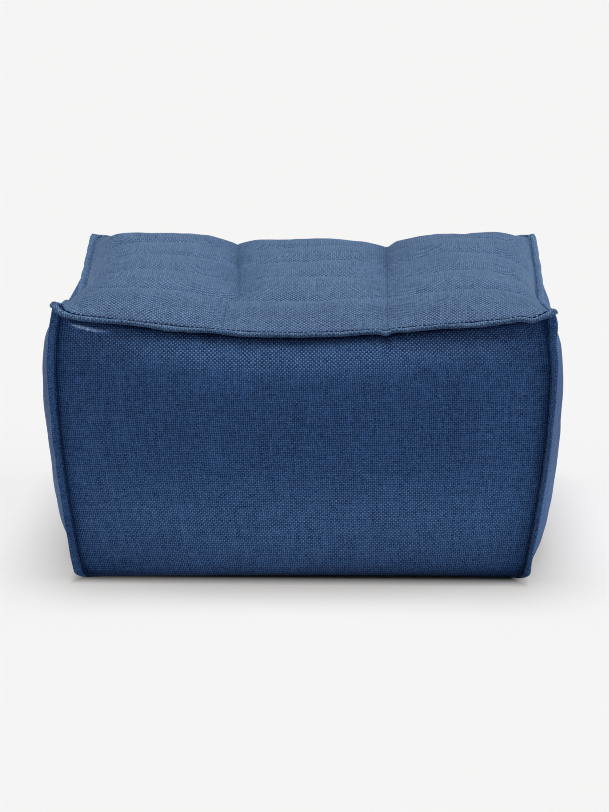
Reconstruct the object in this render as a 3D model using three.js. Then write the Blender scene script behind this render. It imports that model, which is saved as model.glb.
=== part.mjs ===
// Square upholstered footstool: one filled body whose sides bulge between drawn-in corner seams, a
// quilted pad of three columns by five rows of pillows on top, and a flat flange of doubled cloth
// along every seam. Millimetres, +Z up, front towards -Y, standing on z = 0.

import * as THREE from 'three';

// Body
const TOP_HALF_WIDTH = 353;     // top seam, from the middle out to the left and right
const TOP_HALF_DEPTH = 302;     // top seam, from the middle out to the front and back
const WAIST_SPREAD = 4;         // how far the corner seams stand outside the top seam at their widest
const WAIST_LEVEL = 0.75;       // where that is, as a share of the height
const BASE_INSET = { x: 26, y: 12 };  // how far the corner seams draw in towards the floor
const BASE_ROUND = 9;           // radius of the turned-under bottom edge
const CORNER_SETBACK = 5;       // width taken off each corner, where its flange sits
const BULGE = { front: 40, right: 31, back: 40, left: 43 };      // each side at its fullest
const BASE_BULGE = { front: -5, right: 8, back: -5, left: 8 };   // each side at the floor
const BULGE_SHAPE = { along: 3, shoulder: 0.45 };                // higher powers are squarer
const BULGE_UP = { front: 3, right: 5, back: 3, left: 5 };       // the same up each side
const WAIST_SHAPE = { above: 1.5, below: 1.7 };

// Seams at the top: how each rises from its lowest point to its start (left or front) and its end
const TOP_SEAMS = {
  front: { low: -20, level: 367, startRise: 29, startPower: 1.5, endRise: 29, endPower: 1.4 },
  back: { low: 0, level: 377, startRise: 10, startPower: 1.3, endRise: 12, endPower: 1.3 },
  left: { low: 60, level: 352, startRise: 57, startPower: 1.5, endRise: 35, endPower: 1.5 },
  right: { low: 0, level: 366, startRise: 34, startPower: 1.5, endRise: 22, endPower: 1 },
};
const CORNER_LEVEL = { frontLeft: 411, frontRight: 402, backLeft: 389, backRight: 392 };
const EAR_POWER = 40;           // how suddenly a seam turns up into its corner

// Flanges
const FLANGE_WIDTH = 12;        // from the seam to the lip
const CORNER_FLANGE_WIDTH = 13; // the same on the diagonal of a corner
const FLANGE_THICKNESS = 7;
const FLANGE_LIFT = 1.5;        // how much higher the lip of a top flange lies than its seam
const FLANGE_FOOT_ROUND = 14;   // radius of a corner flange's bottom end

// Pad
const PAD_RIM = 6;              // thickness of the pad where it is sewn in
const UNDER_CROWN = 35;         // rise of the filling under the pad above the plane of the seams
const SHEET_CROWN = 47;         // the same for the quilting lines
const CROWN_SKEW = 0.1;         // how much more of that crown lies towards the front
const RIGHT_COLUMN_SEAM = 122;
const LEFT_COLUMN_SEAM = { front: -116, step: -99, back: -123, stepFrom: -190, stepTo: -140 };
const PILLOW_PUFF = 8;          // how far a pillow swells above the seams at its front and back
const CROWN_POWER = 8;          // how squarely the crown falls to the left and right edges
const BARREL_SHAPE = { inner: 2, outer: 4, shoulder: 0.6 };  // a column in section
const FADE_SHAPE = { power: 8, shoulder: 0.8 };              // its fall to the front and back edges
const ROWS = 5;

// Height of each column above the quilting lines, where the seams between two rows cross it
const RIDGES = [
  { left: 17, middle: 10, right: 12 },
  { left: 20, middle: 17, right: 14 },
  { left: 27, middle: 19, right: 17 },
  { left: 22, middle: 18, right: 19 },
];

// Clearance between neighbouring pieces
const GAP = 0.3;

// Fineness of the faces
const CELLS_PER_COLUMN = 8;
const CELLS_PER_ROW = 6;
const HEIGHT_STEPS = 12;
const ROUND_STEPS = 3;

const COLUMNS = 3;
const CELLS_X = COLUMNS * CELLS_PER_COLUMN;
const CELLS_Y = ROWS * CELLS_PER_ROW;

function lerp(a, b, t) {
  return a + (b - a) * t;
}

function smooth(low, high, value) {
  const t = Math.min(1, Math.max(0, (value - low) / (high - low)));
  return t * t * (3 - 2 * t);
}

// The four sides in order round the body, walked anticlockwise as seen from above. A side's seam runs
// from its start to its end, left to right or front to back.
const SIDES = {
  front: { alongX: true, out: -1, walk: 1, start: 'frontLeft', end: 'frontRight' },
  right: { alongX: false, out: 1, walk: 1, start: 'frontRight', end: 'backRight' },
  back: { alongX: true, out: 1, walk: -1, start: 'backLeft', end: 'backRight' },
  left: { alongX: false, out: -1, walk: -1, start: 'frontLeft', end: 'backLeft' },
};

// Height of a top seam at s, which runs from -1 at its start to 1 at its end.
function seamHeight(name, s) {
  const seam = TOP_SEAMS[name];
  const side = SIDES[name];
  const low = seam.low / (side.alongX ? TOP_HALF_WIDTH : TOP_HALF_DEPTH);
  const first = s < low;
  const away = first ? (low - s) / (low + 1) : (s - low) / (1 - low);
  const rise = first ? seam.startRise : seam.endRise;
  const power = first ? seam.startPower : seam.endPower;
  const corner = CORNER_LEVEL[first ? side.start : side.end];
  return seam.level + rise * away ** power + (corner - seam.level - rise) * Math.abs(s) ** EAR_POWER;
}

// Surface stretched between the four top seams: u from left to right and v from front to back.
function seamSurface(u, v) {
  const a = (u + 1) / 2;
  const b = (v + 1) / 2;
  const fromFront = lerp(seamHeight('front', u), seamHeight('back', u), b);
  const fromLeft = lerp(seamHeight('left', v), seamHeight('right', v), a);
  const front = lerp(CORNER_LEVEL.frontLeft, CORNER_LEVEL.frontRight, a);
  const back = lerp(CORNER_LEVEL.backLeft, CORNER_LEVEL.backRight, a);
  return fromFront + fromLeft - lerp(front, back, b);
}

// How far the corner seams stand outside the top seam in x or in y, at a share of the height.
function cornerSpread(axis, level) {
  if (level > WAIST_LEVEL) {
    return WAIST_SPREAD * (1 - ((level - WAIST_LEVEL) / (1 - WAIST_LEVEL)) ** WAIST_SHAPE.above);
  }
  const drawnIn = (1 - level / WAIST_LEVEL) ** WAIST_SHAPE.below;
  return WAIST_SPREAD - (BASE_INSET[axis] + WAIST_SPREAD) * drawnIn;
}

// Outward bulge of a side at s along it and at a share of the height.
function bulge(name, s, level) {
  const along = 1 - Math.abs(s) ** BULGE_SHAPE.along;
  const up = (1 - Math.abs(2 * level - 1) ** BULGE_UP[name]) ** BULGE_SHAPE.shoulder;
  return along * (BULGE[name] * up + BASE_BULGE[name] * (1 - level) ** 2);
}

// Where the lines between the columns run; the left one steps inwards behind the first row.
function columnSeam(index, y) {
  const left = LEFT_COLUMN_SEAM;
  const drift = Math.max(0, (y - left.stepTo) / (TOP_HALF_DEPTH - left.stepTo));
  const rest = lerp(left.step, left.back, drift);
  const stepped = lerp(left.front, rest, smooth(left.stepFrom, left.stepTo, y));
  return [-TOP_HALF_WIDTH, stepped, RIGHT_COLUMN_SEAM, TOP_HALF_WIDTH][index];
}

// Grid point of the top: i cells from the left and j cells from the front.
function topPlace(i, j) {
  const y = TOP_HALF_DEPTH * (2 * j / CELLS_Y - 1);
  const column = Math.min(COLUMNS - 1, Math.floor(i / CELLS_PER_COLUMN));
  const row = Math.min(ROWS - 1, Math.floor(j / CELLS_PER_ROW));
  const across = i / CELLS_PER_COLUMN - column;
  const along = j / CELLS_PER_ROW - row;
  const x = lerp(columnSeam(column, y), columnSeam(column + 1, y), across);
  return { x, y, u: x / TOP_HALF_WIDTH, v: y / TOP_HALF_DEPTH, column, row, across, along };
}

// Underside of the pad.
function underHeight(place) {
  const { u, v } = place;
  return seamSurface(u, v) + UNDER_CROWN * (1 - u * u) * (1 - v * v);
}

// Height of a column's ridge, between the heights given where the row seams cross it.
function ridgeHeight(place) {
  const column = ['left', 'middle', 'right'][place.column];
  const at = Math.min(RIDGES.length - 1, Math.max(0, place.row + place.along - 1));
  const before = Math.min(RIDGES.length - 2, Math.floor(at));
  return lerp(RIDGES[before][column], RIDGES[before + 1][column], at - before);
}

// Upper face of the pad.
function upperHeight(place) {
  const { u, v } = place;
  const a = 2 * place.across - 1;
  const b = 2 * place.along - 1;
  const crown = SHEET_CROWN * (1 - u ** CROWN_POWER) * (1 - v * v) * (1 - CROWN_SKEW * v);
  const outer = (place.column === 0 && a < 0) || (place.column === COLUMNS - 1 && a > 0);
  const power = outer ? BARREL_SHAPE.outer : BARREL_SHAPE.inner;
  const barrel = (1 - Math.abs(a) ** power) ** BARREL_SHAPE.shoulder;
  const puff = PILLOW_PUFF * (1 - b * b) ** BARREL_SHAPE.shoulder;
  const fade = (1 - Math.abs(v) ** FADE_SHAPE.power) ** FADE_SHAPE.shoulder;
  return seamSurface(u, v) + PAD_RIM + crown + barrel * (ridgeHeight(place) + puff) * fade;
}

// Grid cell of the top at step k of a side's walk.
function rimCell(name, k) {
  if (name === 'front') return [k, 0];
  if (name === 'right') return [CELLS_X, k];
  if (name === 'back') return [CELLS_X - k, CELLS_Y];
  return [0, CELLS_Y - k];
}

function stepsAlong(name) {
  return SIDES[name].alongX ? CELLS_X : CELLS_Y;
}

// Point on a side at step k of its walk: its corners stand a given way out from the top seam in x and
// in y, and the side bows out from there.
function sidePoint(name, k, spread, bow, z) {
  const { alongX, out } = SIDES[name];
  const place = topPlace(...rimCell(name, k));
  const halfX = TOP_HALF_WIDTH + spread.x;
  const halfY = TOP_HALF_DEPTH + spread.y;
  return alongX
    ? [place.u * (halfX - CORNER_SETBACK), out * (halfY + bow), z]
    : [out * (halfX + bow), place.v * (halfY - CORNER_SETBACK), z];
}

// Collects the points and triangles of one closed surface.
class Skin {
  constructor() {
    this.points = [];
    this.faces = [];
  }

  point(p) {
    this.points.push(...p);
    return this.points.length / 3 - 1;
  }

  quad(a, b, c, d) {
    this.faces.push(a, b, c, a, c, d);
  }

  // One point for each step of the four sides; each side has its own point at both ends.
  ring(place) {
    const ring = {};
    for (const name of Object.keys(SIDES)) {
      ring[name] = [];
      for (let k = 0; k <= stepsAlong(name); k += 1) ring[name].push(this.point(place(name, k)));
    }
    return ring;
  }

  band(low, high) {
    const lower = Object.values(low).flat();
    const upper = Object.values(high).flat();
    lower.forEach((corner, k) => {
      const next = (k + 1) % lower.length;
      this.quad(corner, lower[next], upper[next], upper[k]);
    });
  }

  // Grid over the top inside a ring. Each corner cell is a fan, because the corner is cut off.
  cap(ring, place, looksUp) {
    const grid = Array.from({ length: CELLS_Y + 1 }, () => []);
    for (const name of Object.keys(SIDES)) {
      for (let k = 1; k < stepsAlong(name); k += 1) {
        const [i, j] = rimCell(name, k);
        grid[j][i] = ring[name][k];
      }
    }
    for (let j = 1; j < CELLS_Y; j += 1) {
      for (let i = 1; i < CELLS_X; i += 1) grid[j][i] = this.point(place(i, j));
    }
    const face = (hub, ...others) => {
      for (let n = 1; n < others.length; n += 1) {
        const [a, b] = looksUp ? [others[n - 1], others[n]] : [others[n], others[n - 1]];
        this.faces.push(hub, a, b);
      }
    };
    for (let j = 0; j < CELLS_Y; j += 1) {
      for (let i = 0; i < CELLS_X; i += 1) {
        const cell = [grid[j][i], grid[j][i + 1], grid[j + 1][i + 1], grid[j + 1][i]];
        if (!cell.includes(undefined)) face(...cell);
      }
    }
    const [lastX, lastY] = [CELLS_X - 1, CELLS_Y - 1];
    const inner = {
      front: grid[1][1],
      right: grid[1][lastX],
      back: grid[lastY][lastX],
      left: grid[lastY][1],
    };
    const before = { front: 'left', right: 'front', back: 'right', left: 'back' };
    for (const name of Object.keys(SIDES)) {
      const previous = ring[before[name]];
      face(inner[name], previous.at(-2), previous.at(-1), ring[name][0], ring[name][1]);
    }
  }

  mesh(name, material) {
    const geometry = new THREE.BufferGeometry();
    geometry.setAttribute('position', new THREE.Float32BufferAttribute(this.points, 3));
    geometry.setIndex(this.faces);
    geometry.computeVertexNormals();
    const mesh = new THREE.Mesh(geometry, material);
    mesh.name = name;
    return mesh;
  }
}

// Filled body: rings from the flat base, round the turned-under edge and up the bulging sides.
function makeBody() {
  const skin = new Skin();
  const rings = [];
  for (let n = 0; n < ROUND_STEPS; n += 1) {
    const turn = Math.PI / 2 * n / ROUND_STEPS;
    const z = BASE_ROUND * (1 - Math.cos(turn));
    const tuck = BASE_ROUND * (1 - Math.sin(turn));
    rings.push(skin.ring((name, k) => sidePanel(name, k, z / TOP_SEAMS.front.level, tuck, z)));
  }
  const firstLevel = BASE_ROUND / TOP_SEAMS.front.level;
  for (let n = 0; n <= HEIGHT_STEPS; n += 1) {
    const level = lerp(firstLevel, 1, n / HEIGHT_STEPS);
    rings.push(skin.ring((name, k) => sidePanel(name, k, level, 0)));
  }
  for (let n = 1; n < rings.length; n += 1) skin.band(rings[n - 1], rings[n]);
  skin.cap(rings.at(-1), (i, j) => {
    const place = topPlace(i, j);
    return [place.x, place.y, underHeight(place) - GAP];
  }, true);
  const hub = skin.point([0, 0, 0]);
  const base = Object.values(rings[0]).flat();
  base.forEach((corner, k) => skin.faces.push(hub, base[(k + 1) % base.length], corner));
  return skin.mesh('body', CLOTH_SIDE);
}

// Point of a side panel at a share of the height; tuck draws it in under the bottom edge.
function sidePanel(name, k, level, tuck, fixedHeight) {
  const place = topPlace(...rimCell(name, k));
  const s = SIDES[name].alongX ? place.u : place.v;
  const spread = { x: cornerSpread('x', level) - tuck, y: cornerSpread('y', level) - tuck };
  const z = fixedHeight ?? level * (underHeight(place) - GAP);
  return sidePoint(name, k, spread, bulge(name, s, level), z);
}

// Filled pad with its pillows.
function makeQuiltedTop() {
  const skin = new Skin();
  const rim = (lift) => skin.ring((name, k) => {
    const place = topPlace(...rimCell(name, k));
    return sidePoint(name, k, { x: 0, y: 0 }, 0, underHeight(place) + lift);
  });
  const low = rim(0);
  const high = rim(PAD_RIM);
  skin.band(low, high);
  skin.cap(low, (i, j) => {
    const place = topPlace(i, j);
    return [place.x, place.y, underHeight(place)];
  }, false);
  skin.cap(high, (i, j) => {
    const place = topPlace(i, j);
    return [place.x, place.y, upperHeight(place)];
  }, true);
  return skin.mesh('quilted_top', CLOTH_TOP);
}

// Closed strip through a row of six-sided sections.
function strip(name, sections) {
  const skin = new Skin();
  const loops = sections.map((section) => section.map((p) => skin.point(p)));
  for (let n = 1; n < loops.length; n += 1) {
    const [back, front] = [loops[n - 1], loops[n]];
    back.forEach((corner, k) => {
      const next = (k + 1) % back.length;
      skin.quad(corner, back[next], front[next], front[k]);
    });
  }
  const first = loops[0];
  const last = loops.at(-1);
  for (let k = 1; k + 1 < first.length; k += 1) {
    skin.faces.push(first[0], first[k + 1], first[k]);
    skin.faces.push(last[0], last[k], last[k + 1]);
  }
  return skin.mesh(name, CLOTH_FLANGE);
}

// Section of a flange as distance from the seam and height over its middle plane.
function flangeSection(width) {
  const half = FLANGE_THICKNESS / 2;
  return [
    { away: 0, over: -half },
    { away: width - half, over: -half },
    { away: width, over: -half * 0.4 },
    { away: width, over: half * 0.4 },
    { away: width - half, over: half },
    { away: 0, over: half },
  ];
}

// Flange along a top seam, mitred at both corners.
function makeTopFlange(name) {
  const { alongX, out } = SIDES[name];
  const steps = stepsAlong(name);
  const mitre = GAP / Math.SQRT2;
  const [halfAlong, halfOut] = alongX
    ? [TOP_HALF_WIDTH, TOP_HALF_DEPTH]
    : [TOP_HALF_DEPTH, TOP_HALF_WIDTH];
  const sections = [];
  for (let k = 0; k <= steps; k += 1) {
    const place = topPlace(...(alongX ? [k, 0] : [0, k]));
    const s = alongX ? place.u : place.v;
    const atEnd = k === 0 || k === steps;
    const z = seamHeight(name, s) + GAP + FLANGE_THICKNESS / 2;
    sections.push(flangeSection(FLANGE_WIDTH).map(({ away, over }) => {
      const reach = away + GAP;
      const along = s * (halfAlong + (atEnd ? reach - mitre : -CORNER_SETBACK));
      const across = out * (halfOut + reach);
      const height = z + over + FLANGE_LIFT * away / FLANGE_WIDTH;
      return alongX ? [along, across, height] : [across, along, height];
    }));
  }
  const forwards = alongX !== (out < 0);
  return strip(`flange_${name}`, forwards ? sections : sections.reverse());
}

// Flange down a corner seam, from just above the floor to under the mitre of the top flanges. Its foot
// turns under in the same steps as the body's edge.
function makeCornerFlange(name, xSign, ySign, corner) {
  const sections = [];
  const bottom = BASE_ROUND / TOP_SEAMS.front.level * CORNER_LEVEL[corner];
  const top = CORNER_LEVEL[corner] - FLANGE_THICKNESS / 2 - GAP;
  const diagonal = Math.SQRT1_2;
  for (let k = 1; k <= ROUND_STEPS + HEIGHT_STEPS; k += 1) {
    const round = k < ROUND_STEPS;
    const turn = Math.PI / 2 * Math.min(1, k / ROUND_STEPS);
    const z = round
      ? BASE_ROUND * (1 - Math.cos(turn))
      : lerp(bottom, top, (k - ROUND_STEPS) / HEIGHT_STEPS);
    const level = z / (round ? TOP_SEAMS.front.level : CORNER_LEVEL[corner]);
    const drawnIn = 1 - Math.sin(turn);
    const inner = GAP * diagonal - CORNER_SETBACK / 2 - BASE_ROUND * drawnIn;
    const seamX = TOP_HALF_WIDTH + cornerSpread('x', level) + inner;
    const seamY = TOP_HALF_DEPTH + cornerSpread('y', level) + inner;
    const width = CORNER_FLANGE_WIDTH - FLANGE_FOOT_ROUND * drawnIn;
    sections.push(flangeSection(width).map(({ away, over }) => {
      const x = seamX + (away + over) * diagonal;
      const y = seamY + (away - over) * diagonal;
      return [xSign * x, ySign * y, z];
    }));
  }
  return strip(name, xSign * ySign < 0 ? sections : sections.reverse());
}

const CLOTH_TOP = new THREE.MeshStandardMaterial({ color: 0x4f6a8c, roughness: 0.9, metalness: 0 });
const CLOTH_SIDE = new THREE.MeshStandardMaterial({ color: 0x46607f, roughness: 0.9, metalness: 0 });
const CLOTH_FLANGE = new THREE.MeshStandardMaterial({ color: 0x4a6485, roughness: 0.9, metalness: 0 });

// The left side bulges more than the right, so the whole moves over to stand in the middle of its box.
const footstool = new THREE.Group();
footstool.position.x = (BULGE.left - BULGE.right) / 2;
footstool.add(makeBody(), makeQuiltedTop());
for (const name of Object.keys(SIDES)) footstool.add(makeTopFlange(name));
footstool.add(makeCornerFlange('flange_front_left', -1, -1, 'frontLeft'));
footstool.add(makeCornerFlange('flange_front_right', 1, -1, 'frontRight'));
footstool.add(makeCornerFlange('flange_back_left', -1, 1, 'backLeft'));
footstool.add(makeCornerFlange('flange_back_right', 1, 1, 'backRight'));

export default footstool;
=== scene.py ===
"""Square upholstered footstool in coarse blue cloth: a filled body, a quilted pad of three columns by five
rows of pillows, and a flange of doubled cloth with a row of stitches along every seam."""

import math

import bpy
import numpy as np
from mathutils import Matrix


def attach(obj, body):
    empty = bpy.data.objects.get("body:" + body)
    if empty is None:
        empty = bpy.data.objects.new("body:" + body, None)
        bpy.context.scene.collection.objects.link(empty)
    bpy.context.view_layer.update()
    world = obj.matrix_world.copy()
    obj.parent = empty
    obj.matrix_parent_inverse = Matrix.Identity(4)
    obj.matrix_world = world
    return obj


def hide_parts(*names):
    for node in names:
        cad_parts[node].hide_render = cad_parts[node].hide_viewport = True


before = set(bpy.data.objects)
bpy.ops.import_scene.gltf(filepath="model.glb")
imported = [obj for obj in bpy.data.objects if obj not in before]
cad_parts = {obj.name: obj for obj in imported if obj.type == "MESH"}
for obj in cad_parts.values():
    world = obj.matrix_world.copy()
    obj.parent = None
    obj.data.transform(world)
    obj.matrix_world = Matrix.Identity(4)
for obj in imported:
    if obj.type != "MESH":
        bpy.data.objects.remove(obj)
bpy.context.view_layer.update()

MM = 0.001

# The solids' own sizes, in millimetres, before the whole moves over to stand in the middle of its box
TOP_HALF_WIDTH = 353
TOP_HALF_DEPTH = 302
WAIST_SPREAD = {"x": 10, "y": 4}
WAIST_LEVEL = 0.75
BASE_INSET = {"x": 26, "y": 12}
BASE_ROUND = 15
CORNER_SETBACK = 5
BULGE = {"front": 40, "right": 25, "back": 40, "left": 37}
BASE_BULGE = {"front": -5, "right": 14, "back": -5, "left": 6}
BULGE_ALONG = 3
BULGE_UP = {"front": 3, "right": 5.5, "back": 3, "left": 8}
BULGE_SHOULDER = {"front": 0.6, "right": 1, "back": 0.6, "left": 1}
WAIST_SHAPE = {"above": 1.5, "below": 1.7}
CENTRE_SHIFT = 6

# Each top seam sags: where and how high its lowest point is, and for both ends the rise towards that
# corner and the power of its curve
TOP_SEAMS = {
    "front": {"low": -20, "level": 367, "start": (29, 1.5), "end": (29, 1.4)},
    "back": {"low": 0, "level": 377, "start": (10, 1.3), "end": (12, 1.3)},
    "left": {"low": 60, "level": 352, "start": (57, 1.5), "end": (35, 1.5)},
    "right": {"low": 0, "level": 366, "start": (34, 1.5), "end": (22, 1)},
}
CORNER_LEVEL = {"front_left": 411, "front_right": 402, "back_left": 389, "back_right": 392}
EAR_POWER = 40           # how abruptly a seam turns up into its corner

FLANGE_WIDTH = 12
CORNER_FLANGE_WIDTH = 13
FLANGE_THICKNESS = 7
FLANGE_LIFT = 1.5
FLANGE_FOOT = 1
FLANGE_FOOT_ROUND = 14

PAD_RIM = 6
UNDER_CROWN = 35
SHEET_CROWN = 47
CROWN_SKEW = 0.1
RIGHT_COLUMN_SEAM = 122
LEFT_COLUMN_SEAM = {"front": -116, "step": -99, "back": -123, "step_from": -190, "step_to": -140}
PILLOW_PUFF = 8
PUFF_POWER = 0.85
CROWN_POWER = 8
BARREL_SHAPE = {"inner": 2, "outer": 4, "shoulder": 0.6}
FADE_SHAPE = {"power": 8, "shoulder": 0.8}
COLUMNS = 3
ROWS = 5
# Height of the seams between the rows over the crown, from the front, in each column
RIDGES = {
    "left": [17, 20, 27, 22],
    "middle": [10, 17, 19, 18],
    "right": [12, 14, 17, 19],
}
GAP = 0.3

# Sizes of the cloth and of its sewing. The painted shade of a seam runs from 0, none, to 1, as dark as the
# dark yarn.
WARP_PITCH = 3.05        # from one upright yarn to the next
WEFT_PITCH = 2.85        # from one level yarn to the next
STITCH_PITCH = 7.5
STITCH_LENGTH = 6.3
THREAD_RADIUS = {"front": 1.15, "right": 0.5, "back": 0.6, "left": 0.4, "corner": 0.5}
THREAD_HEIGHT = {"front": 0.9, "right": 0.0, "back": 0.0, "left": -0.2, "corner": 0.0}
SEAM_SHADE = {"front": 1.1, "right": 0.15, "back": 0.4, "left": 0.05}
EAR_SHINE = 0.7          # how much of that shade the corners of the top lose
GROOVE_DEPTH = 2.6       # how far the pad's edge dips beside the flange
GROOVE_WIDTH = 6
STITCH_AWAY = 2.0        # distance of the stitches from the seam
BURIED = 3               # how far a flange's inner edge reaches into the seam
LIP_ROUND = 8            # a flange's corner as seen from above
SEAM_FILL = 2.4          # how much the column seams fill up towards the front
SEAM_PULL = 5            # how far the corner seams draw in the cloth beside them
SEAM_PULL_FAR = 9
SEAM_PULL_NEAR = 2.5
UNDER_TURN = 7           # how far the sides turn under above the floor
UNDER_HEIGHT = 34
FLANGE_RISE = 4.5        # how far the upper end of a corner flange rises
FORWARD_LEAN = 6         # how far the right front corner flange leans forward

# Soft pushes and pulls that the cloth shows: centre, reach and shift, each in x, y and z
PUSHES = [
    # the side flanges hang in and down a little, but less so towards the front corners
    ((-366, 0, 358), (30, 120, 24), (5, 0, 0)),
    ((362, -90, 372), (30, 110, 24), (-5, 0, 0)),
    ((-360, -40, 365), (50, 120, 50), (0, 0, -3)),
    ((366, -95, 378), (40, 80, 40), (0, 0, -1.5)),
    ((-356, -115, 378), (30, 40, 30), (0, 0, 3)),
    ((362, -180, 388), (24, 50, 24), (0, 0, 3)),
    ((364, -262, 398), (24, 36, 24), (3, 0, 1.5)),
    # the sides fill out behind the front corners
    ((-375, -210, 350), (30, 110, 30), (-3.5, 0, 0)),
    ((375, -210, 338), (30, 120, 24), (4, 0, 0)),
    # the right front ear stands up a little, and both corner seams stand out under the ears
    ((366, -314, 400), (34, 34, 26), (0, 0, 2.5)),
    ((364, -312, 388), (26, 26, 20), (4, 0, 0)),
    ((-364, -312, 378), (26, 26, 26), (-2.5, 0, 0)),
    # dips of the front flange
    ((120, -314, 376), (8, 22, 30), (0, 0, -3.5)),
    ((331, -314, 398), (10, 22, 25), (0, 0, -3.5)),
    ((312, -314, 394), (10, 22, 25), (0, 0, 1.5)),
    # pillows of the last row, and the two notches between them
    ((-308, 235, 412), (48, 90, 40), (0, 0, 3.2)),
    ((326, 235, 412), (40, 90, 40), (0, 0, 3.5)),
    ((122, 235, 405), (14, 75, 40), (0, 0, -3.5)),
    ((136, 270, 395), (14, 40, 30), (0, 0, 3.3)),
    ((-118, 268, 392), (38, 50, 30), (0, 0, 3.6)),
    ((-166, 270, 410), (26, 60, 40), (0, 0, 4)),
    ((-82, 270, 410), (26, 60, 40), (0, 0, 2.2)),
    # the back corners of the top
    ((345, 290, 396), (26, 30, 30), (0, 0, 5)),
    ((-352, 300, 398), (22, 30, 30), (0, 0, 2.5)),
    # the back flange lies lower behind both notches
    ((-120, 312, 382), (50, 16, 30), (0, 0, -6)),
    ((122, 312, 382), (50, 16, 30), (0, 0, -7)),
    # left front corner of the base
    ((-300, -285, 0), (240, 60, 90), (0, -12, 0)),
    # the right side stands out above the floor
    ((345, -100, 10), (40, 130, 45), (7, 0, 0)),
    # front edge of the base
    ((0, -285, 0), (900, 60, 60), (0, -5, 0)),
]

# A sharp fold on the front: x and z of its ends, how far it sags between them, its width and how far it
# stands out
FOLD = {"start": (-337, 385.5), "end": (-277, 375.5), "sag": 1.5, "width": 2.4, "out": 5}

# Unevenness of the stuffing and the cloth: how much, how far apart its swells are, and what is added to
# the seed of its random draws. It is in millimetres, but for reach and thickness a share of them.
SIDE_SWELLS = [(1.6, 170, 10), (0.5, 55, 20)]
PAD_SWELLS = [(1.2, 120, 31), (0.35, 34, 32)]
PUCKERS_BY_COLUMN = [(1, 17, 33)]
PUCKERS_BY_EDGE = [(1, 19, 34)]
TOP_FLANGE_SWELLS = {
    "lift": [(0.9, 90, 0), (0.35, 28, 10)],
    "reach": [(0.05, 60, 20)],
    "thick": [(0.07, 24, 30)],
}
CORNER_FLANGE_SWELLS = {
    "sway": [(1.3, 120, 0), (0.5, 40, 10)],
    "thick": [(0.07, 26, 20)],
}

# Painted shade that fades away from a seam or the floor: its strength and the millimetres over which it fades
SIDE_SHADE = {"corner": (1.3, 3.5), "top": (1.1, 8), "floor": (2.6, 10)}
PAD_SHADE = {"front_back": (0.75, 2.5), "columns": (0.14, 2)}
PAD_SIDE_FADE = 2.5
# Bands of painted shade or painted light: strength, distance of the middle from the edge it lies beside, and
# reach
RIGHT_HALF_SHADE = (0.4, 16, 9)
FIRST_ROW_SHADE = (0.15, 60, 40)
PAINTED_LIGHT_BELOW_TOP = (1.15, 24, 23)
PAINTED_LIGHT_LOW = (0.5, 98, 68)

# How the weave lies on a side panel: its stretch up the side, how much of the bulge its level yarns follow
# at the floor and how much of that they lose up to the top, and how far its upright yarns lean to the left
WEAVE_STRETCH = 1.06
WEAVE_BOW = 0.4
WEAVE_BOW_LOSS = 0.28
WEAVE_SLANT = 0.043

# Fineness of the cloth
CELLS_PER_COLUMN = 52
CELLS_PER_ROW = 30
CELLS_X = COLUMNS * CELLS_PER_COLUMN
CELLS_Y = ROWS * CELLS_PER_ROW
HEIGHT_STEPS = 96
ROUND_STEPS = 6
TOP_FLANGE_STEPS = 260
CORNER_FLANGE_STEPS = 169
FOOT_STEPS = 9
THREAD_SIDES = 6

SIDES = {
    "front": {"along_x": True, "out": -1, "start": "front_left", "end": "front_right"},
    "right": {"along_x": False, "out": 1, "start": "front_right", "end": "back_right"},
    "back": {"along_x": True, "out": 1, "start": "back_left", "end": "back_right"},
    "left": {"along_x": False, "out": -1, "start": "front_left", "end": "back_left"},
}


def lerp(a, b, t):
    return a + (b - a) * t


def smooth(low, high, value):
    t = np.clip((value - low) / (high - low), 0, 1)
    return t * t * (3 - 2 * t)


def uneven(x, y, size, seed):
    """Smooth unevenness of about -1 to 1, with swells about the given size apart."""
    rng = np.random.default_rng(seed)
    total = 0
    waves = 14
    for _ in range(waves):
        turn = rng.uniform(0, math.pi)
        pitch = size * rng.uniform(0.7, 1.5)
        phase = rng.uniform(0, 2 * math.pi)
        total = total + np.sin(2 * math.pi * (x * math.cos(turn) + y * math.sin(turn)) / pitch + phase)
    return total / math.sqrt(waves)


def swells(x, y, parts, seed=0):
    """Adds up unevenness of several sizes."""
    return sum(much * uneven(x, y, size, seed + own) for much, size, own in parts)


def hump(value, strength, middle, reach):
    """The strength at the middle, falling away to either side within about twice the reach."""
    return strength * np.exp(-(((value - middle) / reach) ** 2))


def fading(distance, strength, reach):
    """The strength at no distance, down to about a third of it at the reach."""
    return strength * np.exp(-distance / reach)


def seam_height(name, s):
    """Height of a top seam at s, which runs from -1 at its left or front end to 1 at the other."""
    seam = TOP_SEAMS[name]
    side = SIDES[name]
    low = seam["low"] / (TOP_HALF_WIDTH if side["along_x"] else TOP_HALF_DEPTH)
    first = s < low
    away = np.where(first, (low - s) / (low + 1), (s - low) / (1 - low))
    start_rise, start_power = seam["start"]
    end_rise, end_power = seam["end"]
    rise = np.where(first, start_rise * away**start_power, end_rise * away**end_power)
    full = np.where(first, start_rise, end_rise)
    corner = np.where(first, CORNER_LEVEL[side["start"]], CORNER_LEVEL[side["end"]])
    return seam["level"] + rise + (corner - seam["level"] - full) * np.abs(s) ** EAR_POWER


def seam_surface(u, v):
    """Height over the top of the surface that the four top seams span; u and v run from -1 to 1."""
    a = (u + 1) / 2
    b = (v + 1) / 2
    from_front = lerp(seam_height("front", u), seam_height("back", u), b)
    from_left = lerp(seam_height("left", v), seam_height("right", v), a)
    front = lerp(CORNER_LEVEL["front_left"], CORNER_LEVEL["front_right"], a)
    back = lerp(CORNER_LEVEL["back_left"], CORNER_LEVEL["back_right"], a)
    return from_front + from_left - lerp(front, back, b)


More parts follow.
